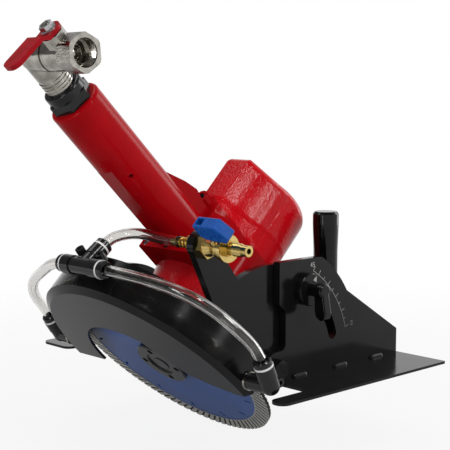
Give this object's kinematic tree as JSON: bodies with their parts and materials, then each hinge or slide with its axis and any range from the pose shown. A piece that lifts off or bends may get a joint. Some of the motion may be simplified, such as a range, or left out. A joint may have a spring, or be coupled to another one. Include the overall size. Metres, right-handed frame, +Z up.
{
  "type": "pneumatic wet stone saw",
  "caption": "Air-driven wet stone saw on a tilting base plate, with a guarded diamond blade, straight handle, air ball valve, water valve, feed hoses and a bevel scale.",
  "frame": {"origin": "on the sole of the base, under the tilt axis and in line with the blade's axis", "axes": "+X the way the saw is pushed, +Y to its left where the base lies, +Z up from the sole"},
  "size_m": [0.274, 0.3229, 0.3078],
  "materials": {
    "black_steel": "satin powder coat",
    "black_grip": "satin",
    "white_print": "matte print",
    "zinc_steel": "zinc plated",
    "black_casting": "satin",
    "ground_steel": "ground",
    "black_oxide": "black oxide",
    "blade_blue": "satin enamel",
    "diamond": "sintered",
    "seal_rubber": "matte",
    "vane_fibre": "laminate",
    "red_texture": "textured gloss paint",
    "red_gloss": "gloss paint",
    "nickel": "nickel plated",
    "red_vinyl": "dipped vinyl",
    "brass": "machined",
    "blue_plastic": "moulded",
    "black_plastic": "moulded",
    "white_plastic": "moulded",
    "clear_hose": "clear"
  },
  "bodies": {
    "base": {"base_plate": "black_steel", "scale_bracket": "black_steel", "scale_marks": "white_print", "bracket_welds": "black_steel", "rear_bracket": "black_steel", "rear_welds": "black_steel", "pivot_bolt_front": "black_oxide", "pivot_bolt_rear": "black_oxide", "pivot_nut_front": "black_oxide", "pivot_nut_rear": "black_oxide", "handle_foot": "black_steel", "handle_core": "zinc_steel", "auxiliary_handle": "black_grip"},
    "head": {"tilt_plate": "black_steel", "rear_tilt_plate": "black_steel", "blade_guard": "black_steel", "pointer_disc": "black_steel", "pointer_mark": "white_print", "guard_screws": "zinc_steel", "motor_bolts": "zinc_steel", "passage_plugs": "zinc_steel", "lock_stud": "zinc_steel", "front_bearing": "ground_steel", "rear_bearing": "ground_steel", "motor_liner": "ground_steel", "front_end_plate": "ground_steel", "rear_end_plate": "ground_steel", "inlet_bushing": "black_oxide", "oil_plug": "black_oxide", "tee_screws": "black_oxide", "spindle_seal": "seal_rubber", "motor_housing": "red_texture", "spindle_housing": "red_texture", "handle_housing": "red_gloss", "inlet_elbow": "nickel", "air_valve_body": "nickel", "elbow_studs": "nickel", "water_valve_body": "brass", "bulkhead_nut": "brass", "water_tee": "black_plastic", "front_elbow": "black_plastic", "rear_elbow": "black_plastic", "release_collars": "black_plastic", "collet_rings": "white_plastic", "hose_supply": "clear_hose", "hose_rear": "clear_hose", "hose_front": "clear_hose"},
    "spindle_group": {"spindle": "black_oxide", "inner_flange": "ground_steel", "blade_core": "blade_blue", "diamond_rim": "diamond", "flange_nut": "black_oxide", "rotor": "ground_steel", "rotor_vanes": "vane_fibre"},
    "air_lever": {"air_valve_stem": "nickel", "air_valve_lever": "red_vinyl", "air_lever_nut": "zinc_steel"},
    "water_lever": {"water_valve_stem": "brass", "water_valve_handle": "blue_plastic"},
    "lock_lever_body": {"lock_lever": "black_casting"}
  },
  "joints": [
    {"name": "bevel_tilt", "type": "hinge", "parent": "base", "child": "head", "pos_m": [0, 0, 0.0105], "axis": [1, 0, 0], "range_deg": [-45, 0]},
    {"name": "blade_spin", "type": "hinge", "parent": "head", "child": "spindle_group", "pos_m": [0, -0.01259, 0.02309], "axis": [0, 0.7071, 0.7071], "continuous": true},
    {"name": "air_valve_turn", "type": "hinge", "parent": "head", "child": "air_lever", "pos_m": [0.0365, -0.13923, 0.23062], "axis": [0, -0.7071, 0.7071], "range_deg": [-90, 0]},
    {"name": "water_valve_turn", "type": "hinge", "parent": "head", "child": "water_lever", "pos_m": [0.099, -0.0647, 0.10462], "axis": [0, -0.7071, 0.7071], "range_deg": [0, 90]},
    {"name": "lock_lever_turn", "type": "hinge", "parent": "head", "child": "lock_lever_body", "pos_m": [0, 0.02949, 0.06481], "axis": [1, 0, 0], "range_deg": [-70, 70]}
  ]
}
